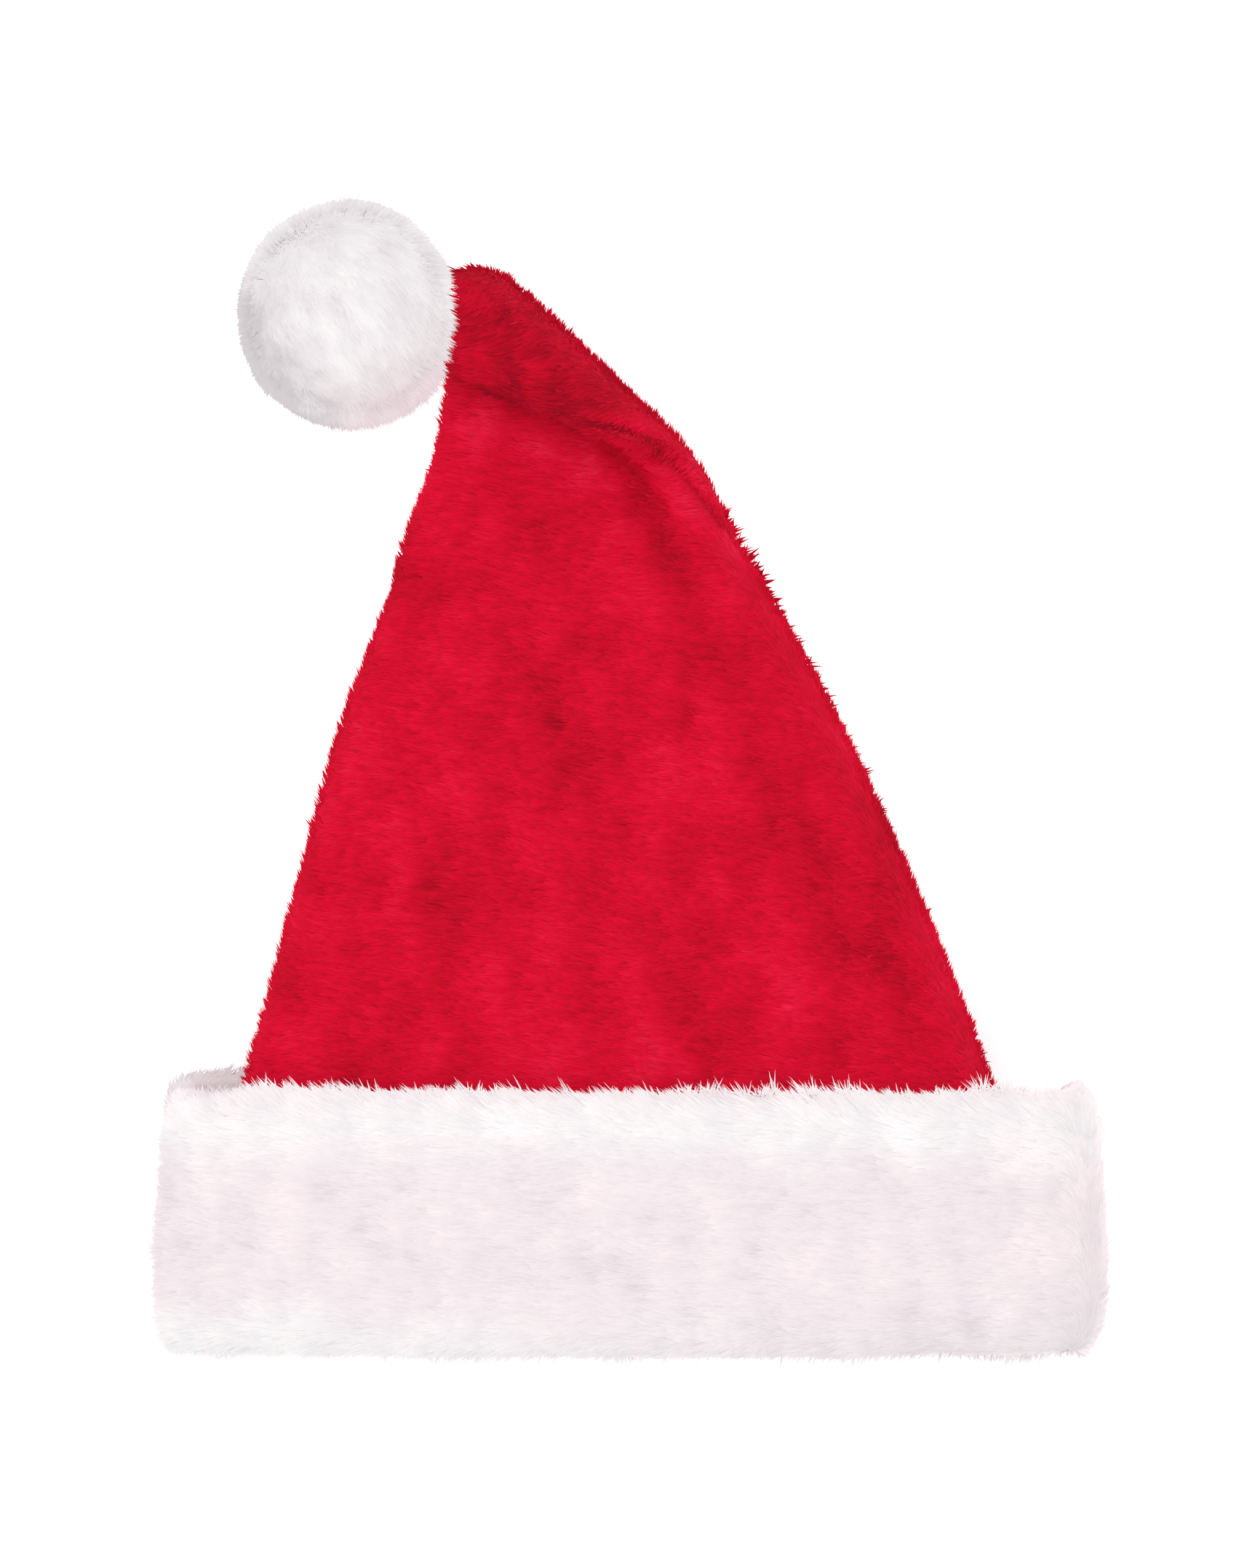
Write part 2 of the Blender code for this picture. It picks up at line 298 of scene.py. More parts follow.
def outlineShare(normals, low, high):
    # 1 where the skin turns away from a viewer above, 0 where it faces up or down
    above, below = 1 - smooth(low, high, normals[:, 2]), 1 - smooth(0.5, 0.95, -normals[:, 2])
    return np.where(normals[:, 2] > 0, above, below)


def combPile(mesh, normals, along, level, up, outline, settings):
    # the pile's growth at each vertex: along is the way that it lies, level the way that it lies where along
    # would run steeply uphill, and up the way that loose strands point at the outlines
    outline = outline[:, None]
    uphill = smooth(0.35, 0.85, along[:, 2:]) * smooth(-0.95, -0.6, normals[:, 2:])
    setAttribute(mesh, "skin", normals)
    setAttribute(mesh, "comb", unit(along * (1 - uphill) + level * uphill))
    setAttribute(mesh, "stand", np.full(len(normals), settings["stand"]))
    setAttribute(mesh, "least", np.full(len(normals), settings["least"]))
    # a share of loose strands at the outlines points outwards and droops
    seen = 2 * smooth(-0.9, -0.6, normals[:, 2:]) - 1
    droop = np.array((0, 0, -growth["droop"])) * seen
    up = up * (1 - uphill) + level * uphill
    setAttribute(mesh, "tuft", normals * settings["rimStand"] + up * settings["rimUp"] + droop * outline)
    setAttribute(mesh, "loose", settings["loose"] * outline[:, 0])
    setAttribute(mesh, "face", unit(normals + np.array((0, 0, growth["faceUp"])) * outline * seen))


def strandObject():
    # one strand a unit long and wide, bent towards +X, with "along" from its root to its tip
    mesh = bpy.data.meshes.new("strand")
    points = [(0, -0.42, 0), (0, 0.42, 0), (0.08, -0.5, 0.5), (0.08, 0.5, 0.5), (0, 0, 1)]
    mesh.from_pydata(points, [], [(0, 1, 3), (0, 3, 2), (2, 3, 4)])
    mesh.update()
    if mesh.polygons[0].normal.x < 0:
        mesh.flip_normals()
    setAttribute(mesh, "along", [0, 0, 0.5, 0.5, 1])
    return addObject("strand", mesh)


pile = pileTree()
strand = strandObject()


def grownArea(mesh, where):
    # the area that strands grow on, counted by their share of full growth, in square metres
    mesh.calc_loop_triangles()
    corners = np.zeros(len(mesh.loop_triangles) * 3, np.int32)
    mesh.loop_triangles.foreach_get("vertices", corners)
    corners = corners.reshape(-1, 3)
    points = vertexArray(mesh)
    a, b, c = points[corners[:, 0]], points[corners[:, 1]], points[corners[:, 2]]
    areas = np.linalg.norm(np.cross(b - a, c - a), axis=1) / 2
    return float((areas * np.asarray(where)[corners].mean(axis=1)).sum())


def growPile(name, skin, where, settings, finish):
    # where is the share of full growth at each of the skin's vertices; settings are the pile's own sizes
    setAttribute(skin.data, "pile", where)
    density = settings["strands"] / grownArea(skin.data, where)
    modifier = skin.modifiers.new("pile", "NODES")
    modifier.node_group = pile
    values = {
        "Strand": strand, "Density": density, "Finish": finish, "Seed": settings["seed"],
        "Length": settings["length"] * mm, "Width": settings["width"] * mm,
        "Clump": settings["clump"], "Clump size": settings["clumpSize"] * mm,
        "Swirl": settings["swirl"], "Swirl size": settings["swirlSize"] * mm,
        "Stray": settings["stray"], "Tufts": settings["tufts"], "Twist": settings["twist"],
        "Mottling": settings["mottling"], "Patch size": settings["patchSize"] * mm,
    }
    for item in pile.interface.items_tree:
        if item.item_type == "SOCKET" and item.in_out == "INPUT" and item.name in values:
            modifier[item.identifier] = values[item.name]
    skin.update_tag()
    grown = evaluatedMesh(skin)
    skin.modifiers.remove(modifier)
    # strands under the hat are pressed against what it lies on
    points = vertexArray(grown)
    points[:, 2] = np.maximum(points[:, 2], growth["floorGap"] * mm)
    setVertices(grown, points)
    # shading follows the skin where a strand lies on it, so that the pile looks soft, and less where it
    # stands up
    soft = unit(readVectors(grown.attributes["face"].data, "vector"))
    own = normalArray(grown)
    lying = smooth(0.05, 0.6, np.abs((soft * own).sum(axis=1, keepdims=True)))
    share = settings["softness"] * (0.3 + 0.7 * lying)
    for done in ("skin", "face", "comb", "stand", "tuft", "loose", "least", "pile", "size", "shade"):
        grown.attributes.remove(grown.attributes[done])
    grown.shade_smooth()
    grown.normals_split_custom_set_from_vertices(unit(soft * share + own * (1 - share)).tolist())
    grown.name = name
    made = addObject(name, grown)
    # real fibres are far finer and let light through, so these broader ones cast no shadow on each other
    made.visible_shadow = False
    made.visible_diffuse = False
    print(f"{name}: {len(grown.polygons)} triangles, {density / 1e6:.2f} strands a square mm")
    return made


# Materials


def newMaterial(name):
    made = bpy.data.materials.new(name)
    made.use_nodes = True
    made.node_tree.nodes.clear()
    return made, made.node_tree


def addSurface(tree, sockets):
    shader = addNode(tree, "ShaderNodeBsdfPrincipled", sockets)
    tree.links.new(shader.outputs[0], tree.nodes.new("ShaderNodeOutputMaterial").inputs[0])


def rampNode(tree, factor, stops):
    # stops may start below 0: the factor and the places are then moved and scaled alike
    first, last = stops[0][0], max(1, stops[-1][0])
    if first < 0:
        sockets = {"Value": factor, "From Min": first, "From Max": last}
        factor = addNode(tree, "ShaderNodeMapRange", sockets).outputs[0]
        stops = [((place - first) / (last - first), colour) for place, colour in stops]
    node = addNode(tree, "ShaderNodeValToRGB", {"Fac": factor})
    elements = node.color_ramp.elements
    while len(elements) < len(stops):
        elements.new(0.5)
    for element, (place, colour) in zip(elements, stops):
        element.position = place
        element.color = linear(colour)
    return node.outputs["Color"]


def mixColours(tree, factor, first, second, blend):
    sockets = {0: factor, 6: first, 7: second}
    return addNode(tree, "ShaderNodeMix", sockets, data_type="RGBA", blend_type=blend).outputs[2]


def pileMaterial(name, settings):
    # strands: each its own tint, darker at the root as painted shade, hardly shiny; their pink tinge is a
    # painted pink reflection of the red crown, as strong as the skin asks for
    made, tree = newMaterial(name)

    def stored(attribute):
        return addNode(tree, "ShaderNodeAttribute", attribute_name=attribute).outputs["Fac"]

    # painted shade: each strand is darker towards its root, as if shaded by the strands over it
    depth = rampNode(tree, stored("along"), ((0.0, settings["rootShade"]), (0.75, "#FFFFFF")))
    colour = mixColours(tree, 1.0, rampNode(tree, stored("tint"), settings["tints"]), depth, "MULTIPLY")
    if "pinkReflection" in settings:
        # painted pink reflection of the red crown, as much as the skin's attribute asks for
        pinkReflected = mixColours(tree, stored("pinkReflection"), (1, 1, 1, 1), linear(settings["pinkReflection"]), "MIX")
        colour = mixColours(tree, 1.0, colour, pinkReflected, "MULTIPLY")
    addSurface(tree, {
        "Base Color": colour, "Roughness": settings["roughness"], "Specular IOR Level": settings["shine"]})
    return made


def groundMaterial(name, dark, light):
    # the woven ground under the pile, mostly hidden by it: matt, in soft patches 20 mm wide, with a fine nap
    made, tree = newMaterial(name)
    place = addNode(tree, "ShaderNodeTexCoord").outputs["Object"]
    patches = addNode(tree, "ShaderNodeTexNoise", {"Vector": place, "Scale": 1 / 0.02, "Detail": 3.0})
    nap = addNode(tree, "ShaderNodeTexNoise", {"Vector": place, "Scale": 900.0, "Detail": 2.0})
    bump = addNode(tree, "ShaderNodeBump", {"Height": nap.outputs[0], "Strength": 0.6, "Distance": 0.0006})
    addSurface(tree, {
        "Base Color": rampNode(tree, patches.outputs[0], ((0.3, dark), (0.7, light))),
        "Roughness": 0.95, "Specular IOR Level": 0.1, "Normal": bump.outputs[0]})
    return made


knit = {"stitchWidth": 0.002, "stitchHeight": 0.0018, "slope": 2.4, "relief": 0.0007}


def knitMaterial(name, dark, light):
    # a knitted backing, its stitches drawn 2 mm wide because the real ones are too fine to show
    made, tree = newMaterial(name)
    sheet = addNode(tree, "ShaderNodeUVMap", uv_map="cloth").outputs[0]
    across, upwards = addNode(tree, "ShaderNodeSeparateXYZ", {0: sheet}).outputs[:2]

    def number(operation, *values):
        return addNode(tree, "ShaderNodeMath", dict(enumerate(values)), operation=operation).outputs[0]

    # each stitch is a V: its two legs slope towards the middle of its column
    column = number("ABSOLUTE", number("SINE", number("MULTIPLY", across, math.pi / knit["stitchWidth"])))
    rows = number("MULTIPLY", upwards, 2 * math.pi / knit["stitchHeight"])
    row = number("ADD", rows, number("MULTIPLY", column, knit["slope"]))
    leg = number("MULTIPLY_ADD", number("SINE", row), 0.5, 0.5)
    height = number("MULTIPLY", number("POWER", column, 0.5), number("MULTIPLY_ADD", leg, 0.6, 0.4))
    bump = addNode(tree, "ShaderNodeBump", {"Height": height, "Strength": 0.8, "Distance": knit["relief"]})
    # the lower part of each stitch is darker: painted shade in the hollows between stitches
    addSurface(tree, {
        "Base Color": rampNode(tree, height, ((0.1, dark), (0.8, light))),
        "Roughness": 0.85, "Specular IOR Level": 0.2, "Normal": bump.outputs[0]})
    return made


# Crown

crown = {
    # up, left, right, low, high, edge, flatness: the cone's sizes before its tip is folded over
    "rows": (
        (7, -132.0, 132.0, 13.0, 47.8, 30.5, 0.85), (50, -127.0, 125.0, 13.0, 47.8, 30.5, 0.85),
        (89, -120.4, 112.6, 12.0, 48.5, 27.0, 0.80), (112, -114.5, 104.2, 2.5, 49.0, 20.0, 0.65),
        (148, -105.6, 89.6, 0.0, 45.0, 14.0, 0.50), (203, -90.3, 64.2, 0.0, 37.0, 10.0, 0.50),
        (240, -76.6, 44.0, 0.0, 29.0, 6.0, 0.50), (260, -71.0, 30.8, 0.0, 23.5, 5.0, 0.50),
        (284, -62.5, 19.8, 0.0, 19.0, 4.5, 0.50), (308, -58.0, 14.0, 0.0, 18.0, 4.5, 0.55),
        (330, -53.6, 3.0, 0.0, 18.0, 6.0, 0.60), (348, -46.8, -5.8, 0.0, 18.0, 10.0, 0.70),
        (362, -42.2, -14.5, 1.0, 17.0, 11.0, 0.80), (372, -39.2, -25.0, 3.0, 15.0, 10.0, 0.90),
        (377, -38.0, -31.0, 6.0, 12.0, 9.0, 1.00),
    ),
    # x, up, angle, reach, width, depth of the soft valleys in its front
    "dents": (
        (10, 266, -62, 30, 8, 5.5), (-30, 284, -20, 30, 8, 2.0), (66, 150, -64, 50, 11, 3.0),
        (-20, 190, 80, 40, 16, 1.6), (-62, 140, 75, 36, 12, 1.4), (25, 120, 95, 26, 14, 1.5),
    ),
    # from, to and step of the rings of its outer and inner skins, finer where it folds
    "outerRings": ((7, 80, 9), (80, 252, 3.2), (252, 377, 1.7)),
    "innerRings": (7, 298, 4),
    "sides": 112,
    "girth": 0.56,  # of the hem, in metres
    "sideFullness": 0.82,
    "frontFullness": 0.68,
    "foldPoint": (-30.5, 307.0),  # on the fold line
    "foldTurn": 47,  # its turn in degrees
    "foldHeight": 19.5,
    "foldRadius": 10.5,
    "pileDepth": 1.7,  # from the cloth to the pile's outer side
    "wall": 3.0,
    "closedWall": 6.5,  # at the hollow's upper end
    "closingFrom": 250.0,  # where the wall starts to thicken towards that
    "backingTo": 17.0,  # the hem's own height without pile
    "pileFrom": 78.0,  # lower down, the cuff covers it
    "ballClearance": 30.0,
    "lumpSize": 34.0,
    "lumpHeight": 0.7,
    "hemTo": 95.0,  # the hem has lower lumps, so that it stays inside the cuff
    # the sewn edge that shows along the fold, with how strongly it shows, in the photo's pixels
    "seam": ((806, 589, 0.3), (827, 583, 0.7), (862, 590, 1), (896, 602, 1), (921, 624, 1), (945, 648, 1),
             (971, 686, 1), (1003, 732, 0.8), (1037, 774, 0.5), (1068, 820, 0.2)),
    "seamWidth": 1.3,
    "seamDepth": 1.4,
    "ridges": (3.2, 2.0, 0.6),  # how far from the seam its ridges are, their width and height
    # where painted light lifts the front below the fold, in the photo's pixels, with how strongly and how
    # wide in mm
    "lift": ((640, 590, 0.2, 8), (700, 608, 0.5, 9), (760, 625, 0.55, 9), (820, 645, 0.5, 8),
             (860, 655, 0.45, 7), (883, 665, 0.42, 7), (906, 690, 0.38, 8), (927, 730, 0.35, 9),
             (953, 780, 0.25, 9), (972, 830, 0.1, 10)),
    # how much painted shade darkens the pile in the seam's groove, in the valleys and at the outlines; how
    # much the flap is darker, partly for its reversed nap and partly as painted shade; and how much painted
    # light lightens the seam's ridges and the body and the flap where light reaches them
    "grooveShade": 0.5,
    "flapShade": 0.3,
    "valleyShade": 0.105,
    "rimShade": 0.1,
    "ridgeLight": 0.14,
    "bodyLight": 0.62,
    "flapLight": 0.3,
}
crownPile = {
    "strands": 58000,
    "length": 5.8,  # in mm, as are the width and the three sizes below
    "width": 0.44,
    "stand": 0.17,  # how far the strands rise from the skin, and the least that any does
    "least": 0.12,
    "rimStand": 0.55,  # how far loose strands rise at the outlines, and point up along them
    "rimUp": 0.6,
    "loose": 0.45,  # the share of those
    "clump": 0.24,  # how strongly neighbours lean together
    "clumpSize": 3.6,
    "swirl": 0.45,  # the same over wider patches
    "swirlSize": 22.0,
    "stray": 0.07,  # how far each goes its own way
    "tufts": 1.1,  # how much clumps differ in length
    "mottling": 0.41,  # how much strands and patches differ in tint
    "patchSize": 15.0,
    "twist": 0.25,  # how unevenly the strands' faces are turned
    "softness": 0.88,  # 1 would shade a lying strand just like the skin under it
    "seed": 11,
}


def crownSizes(up):
    # the crown's rows, with soft curves through them
    rows = np.array(crown["rows"])
    i = np.clip(np.searchsorted(rows[:, 0], up, side="right") - 1, 0, len(rows) - 2)
    before, after = rows[np.maximum(i - 1, 0)], rows[np.minimum(i + 2, len(rows) - 1)]
    start, end = rows[i], rows[i + 1]
    length = end[:, :1] - start[:, :1]
    t = (up[:, None] - start[:, :1]) / length
    leave = (end - before) / (end[:, :1] - before[:, :1]) * length
    arrive = (after - start) / (after[:, :1] - start[:, :1]) * length
    return (
        start * (2 * t**3 - 3 * t**2 + 1) + leave * (t**3 - 2 * t**2 + t)
        + end * (3 * t**2 - 2 * t**3) + arrive * (t**3 - t**2)
    )


def foldOver(points):
    # the tip turned forward round its fold line, keeping the cloth's length
    turn = math.radians(crown["foldTurn"])
    outward = np.array((math.cos(turn), math.sin(turn)))
    ahead = (points[..., :2] - np.array(crown["foldPoint"])) @ outward
    reach = crown["foldHeight"] - points[..., 2]
    angle = np.clip(ahead / crown["foldRadius"], 0, math.pi)
    beyond = ahead - crown["foldRadius"] * angle
    moved = points.copy()
    shift = np.where(ahead > 0, reach * np.sin(angle) - beyond - ahead, 0)
    moved[..., :2] += shift[..., None] * outward
    moved[..., 2] = np.where(ahead > 0, crown["foldHeight"] - reach * np.cos(angle), points[..., 2])
    return moved, angle


def crownGrid(ups, inset, sides):
    # rings of points round the crown, in metres in the frame, with each point's turn over the fold and the
    # depth of its valley
    ups = np.asarray(ups, float)
    inset = np.broadcast_to(np.asarray(inset, float), ups.shape)
    sizes = crownSizes(ups)
    left, right, low, high, edge, flatness = (sizes[:, k][:, None] for k in range(1, 7))
    inset = inset[:, None]
    angles = 2 * np.pi * np.arange(sides) / sides
    c, s = np.cos(angles)[None], np.sin(angles)[None]
    x = (left + right) / 2 + ((right - left) / 2 - inset) * np.sign(c) * np.abs(c) ** crown["sideFullness"]
    low = np.maximum(low, 0) + inset
    edge = np.maximum(edge, low + 0.5)
    up = np.broadcast_to(ups[:, None], x.shape)
    dent = np.zeros_like(x)
    for dx, du, angle, reach, width, depth in crown["dents"]:
        turn = math.radians(angle)
        along = (x - dx) * math.cos(turn) + (up - du) * math.sin(turn)
        across = (up - du) * math.cos(turn) - (x - dx) * math.sin(turn)
        dent += depth * np.exp(-((along / reach) ** 2) - (across / width) ** 2)
    front = edge + (high - inset - edge - dent) * np.abs(s) ** crown["frontFullness"]
    back = edge - (edge - low) * np.abs(s) ** flatness
    z = np.where(s >= 0, front, back)
    points, turned = foldOver(np.stack((x, up, z), axis=-1))
    return points * mm + hatZero, turned, dent * np.clip(s, 0, 1)


def lineRuns(points, marks):
    # each run of a line in the photo's pixels: its direction, how far off it the points are as seen from
    # above, and the line's further values at the place nearest to each
    marks = np.array(marks, float)
    line = fromPhoto(marks[:, :2])
    for a, b, valuesA, valuesB in zip(line, line[1:], marks[:, 2:], marks[1:, 2:]):
        run = b - a
        t = np.clip(((points[:, :2] - a) @ run) / (run @ run), 0, 1)[:, None]
        yield run, points[:, :2] - (a + t * run), valuesA + (valuesB - valuesA) * t


def paintedLightShare(points):
    # how strongly painted light lifts each point below the fold
    found = np.zeros(len(points))
    for run, away, values in lineRuns(points, crown["lift"]):
        distance = np.linalg.norm(away, axis=1) / mm
        found = np.maximum(found, values[:, 0] * np.exp(-((distance / values[:, 1]) ** 2)))
    return found


def seamDistance(points):
    # (distance in millimetres across the seam, how strongly it shows there) at each point
    best = np.full(len(points), 1e9)
    side = np.zeros(len(points))
    show = np.zeros(len(points))
    for run, away, values in lineRuns(points, crown["seam"]):
        distance = np.linalg.norm(away, axis=1)
        nearer = distance < best
        best = np.where(nearer, distance, best)
        side = np.where(nearer, np.sign(away @ np.array((-run[1], run[0]))), side)
        show = np.where(nearer, values[:, 0], show)
    tips = fromPhoto([crown["seam"][end][:2] for end in (0, -1)])
    toTips = np.minimum(*(np.linalg.norm(points[:, :2] - tip, axis=1) for tip in tips))
    return best / mm * side, show * smooth(0, 0.006, toTips)


def crownSkin():
    *lower, last = crown["outerRings"]
    outerUps = np.concatenate([spaced(*rings)[:-1] for rings in lower] + [spaced(*last)])
    innerUps = spaced(*crown["innerRings"])
    closing = np.clip((innerUps - crown["closingFrom"]) / (innerUps[-1] - crown["closingFrom"]), 0, 1)
    wall = crown["wall"] + (crown["closedWall"] - crown["wall"]) * closing
    sides = crown["sides"]
    outer, turned, dents = crownGrid(outerUps, crown["pileDepth"], sides)
    # the inner skin comes first and backwards, so that one tube runs from the hollow's end over the hem to
    # the tip
    inner = crownGrid(innerUps, wall, sides)[0][::-1]
    grid = np.concatenate((inner, outer))
    mesh = ringMesh("crownCloth", grid)
    innerCount = inner.shape[0] * sides
    none = np.zeros(innerCount)
    isOuter = np.arange(len(mesh.vertices)) >= innerCount
    turned = np.concatenate((none, turned.ravel()))
    dents = np.concatenate((none, dents.ravel()))

    # small lumps, and the seam's groove between its two ridges
    points, normals = vertexArray(mesh), normalArray(mesh)
    onFront = isOuter & (normals[:, 2] > 0.15)
    across, show = seamDistance(points)
    groove = np.where(onFront, show * np.exp(-((across / crown["seamWidth"]) ** 2)), 0)
    ridgeOff, ridgeWidth, ridgeHeight = crown["ridges"]
    ridge = np.where(onFront, show * np.exp(-(((np.abs(across) - ridgeOff) / ridgeWidth) ** 2)), 0)
    offset = lumps(points, crown["lumpSize"] * mm, seed=3.7) * crown["lumpHeight"] * isOuter
    offset = offset * np.clip(normals[:, 2], 0, 1) + ridge * ridgeHeight - groove * crown["seamDepth"]
    ups = (points[:, 1] - hatZero[1]) / mm
    offset *= np.where((ups < crown["hemTo"]) & (turned < 0.01), 0.3, 1)
    setVertices(mesh, points + normals * (offset * mm)[:, None])

    # the nap lies crosswise towards the photo's left, and on the flap towards the tip
    crosswise = unit((np.roll(grid, -1, axis=1) - np.roll(grid, 1, axis=1)).reshape(-1, 3))
    lengthways = unit(np.gradient(grid, axis=0).reshape(-1, 3))
    normals = normalArray(mesh)
    rim = outlineShare(normals, 0.05, 0.6)
    folded = smooth(2.2, 3.0, turned)[:, None]
    along = unit(crosswise * (1 - 0.85 * folded) + lengthways * (0.12 + 0.8 * folded))
    combPile(mesh, normals, along, lengthways, lengthways, rim, crownPile)

    # shorter pile at the seam and at the outlines
    nearSeam = np.where(onFront, show * np.exp(-((across / 2.6) ** 2)), 0)
    size = (1 - 0.7 * nearSeam) * (1 - np.where(normals[:, 0] < 0, 0.15, 0.35) * rim)
    setAttribute(mesh, "size", size * (1 - 0.27 * rim * smooth(0.3, 1.2, turned)))
    # painted shade in the seam's groove, in the valleys and at the outlines, and partly on the flap; painted
    # light on the seam's ridges and below the fold
    body = onFront & (turned < 1.2)
    shade = crown["grooveShade"] * groove - crown["ridgeLight"] * ridge
    shade = shade + crown["flapShade"] * smooth(1.2, 2.4, turned)
    shade = shade + crown["valleyShade"] * np.where(body, dents, 0)
    shade = shade - paintedLightShare(points) * np.where(body, crown["bodyLight"], crown["flapLight"])
    setAttribute(mesh, "shade", shade + crown["rimShade"] * rim)

    # the flat cloth, in metres, for the knitted backing
    cloth = mesh.uv_layers.new(name="cloth")
    corner = np.zeros(len(mesh.loops), np.int32)
    mesh.loops.foreach_get("vertex_index", corner)
    ring, column = corner // sides, corner % sides
    run = np.concatenate((innerUps[::-1], outerUps)) * mm
    flat = np.stack((column / sides * crown["girth"], run[ring]), axis=1)
    cloth.data.foreach_set("uv", flat.astype(np.float32).ravel())
    return mesh, isOuter, ups, turned


# red plush: deep red strands with hardly any shine, a little darker at their roots as painted shade
redPile = pileMaterial("redPlushPile", {
    "tints": ((0.0, "#7E0618"), (0.3, "#A8081F"), (0.6, "#BE0B29"), (1.0, "#CC2040")),
    "rootShade": "#D8D8D8", "roughness": 0.7, "shine": 0.02,
})
# its woven ground: the same red, matt, seen only between strands
redGround = groundMaterial("redPlushGround", "#A00820", "#BC0C2A")
# its knitted backing: darker red columns of small stitches inside the hat
redKnit = knitMaterial("redKnittedBacking", "#6E0716", "#B5122C")

crownMesh, crownOuter, crownUps, crownTurned = crownSkin()
crownCloth = addObject("crownCloth", crownMesh, (redGround, redKnit))
backing = ~crownOuter | (crownUps < crown["backingTo"])
for polygon in crownMesh.polygons:
    if all(backing[i] for i in polygon.vertices):
        polygon.material_index = 1
print(f"crown cloth: {len(crownMesh.polygons)} faces")

crownPoints, crownNormals = vertexArray(crownMesh), normalArray(crownMesh)
clearOfBall = np.linalg.norm(crownPoints - ballMiddle, axis=1) > crown["ballClearance"] * mm
aboveCuff = (crownUps > crown["pileFrom"]) | (crownTurned > 0.01)
grows = (crownOuter & clearOfBall & aboveCuff).astype(float)
facing = smooth(-0.3, 0.15, crownNormals[:, 2])
# the front's pile is two pieces that meet across its middle, to keep each small enough
lowerHalf = smooth(0.004, -0.004, crownPoints[:, 1] - 0.005)
crownPiles = [
    growPile("crownPileLower", crownCloth, grows * facing * lowerHalf, crownPile, redPile),
    growPile("crownPileUpper", crownCloth, grows * facing * (1 - lowerHalf),
             crownPile | {"strands": 46000, "seed": 12}, redPile),
    growPile("crownPileBack", crownCloth, grows * (1 - facing),
             crownPile | {"strands": 32000, "width": 0.8, "seed": 13}, redPile),
]

# Cuff

cuff = {
    "width": 302.0,
    "height": 90.0,
    "depth": 66.0,
    "wall": 14.0,
    "pile": 2.0,  # the loose pile at an outline, which the sizes above take in
    "squareness": 2.9,  # 2 would make it an ellipse as seen from its opening
    "rounding": 8,
    "topNarrower": 4.0,
    "bottomNarrower": 2.0,
    "frontDrop": 3.5,
    "frontSlope": 2.0,
    "backDrop": 8.0,  # the back's upper edge at +X, so that the front hides it there
    "backRise": 2.6,  # and at -X, where it shows over the front
    "cornerDrop": 3.0,
    "cornerFlare": 2.0,
    "settled": 1.5,
    "pileDepth": 1.6,
    "stations": 200,
    "levels": 24,
    "lumpSize": 30.0,
    "lumpHeight": 1.0,
    "fineLumpSize": 11.0,
    "fineLumpHeight": 0.35,
    # a soft line where the band's turned edge lies under the pile: its level, width and height
    "turnedEdge": (0.82, 0.02, 0.5),
    # the photo's three soft bands, with painted light at the top and painted shade below, and the painted
    # light at the outlines and at the right end
    "topBand": (56, 74),
    "lowBand": (22, 9),
    "bandDrift": (22, 7),  # the size of soft bumps, and how far they move the bands
    "topLight": 0.15,
    "middleShade": 0.02,
    "lowShade": 0.14,
    "rimLight": 0.5,
    "rightLight": 0.16,
}
cuffPile = {
    "strands": 60000, "length": 6.6, "width": 0.5, "stand": 0.19, "least": 0.11, "rimStand": 0.35,
    "rimUp": 0.6, "loose": 0.5, "clump": 0.26, "clumpSize": 4.5, "swirl": 0.5, "swirlSize": 24.0,
    "stray": 0.08, "tufts": 1.3, "mottling": 0.5, "patchSize": 12.0, "twist": 0.1, "softness": 0.97,
    "seed": 21,
}


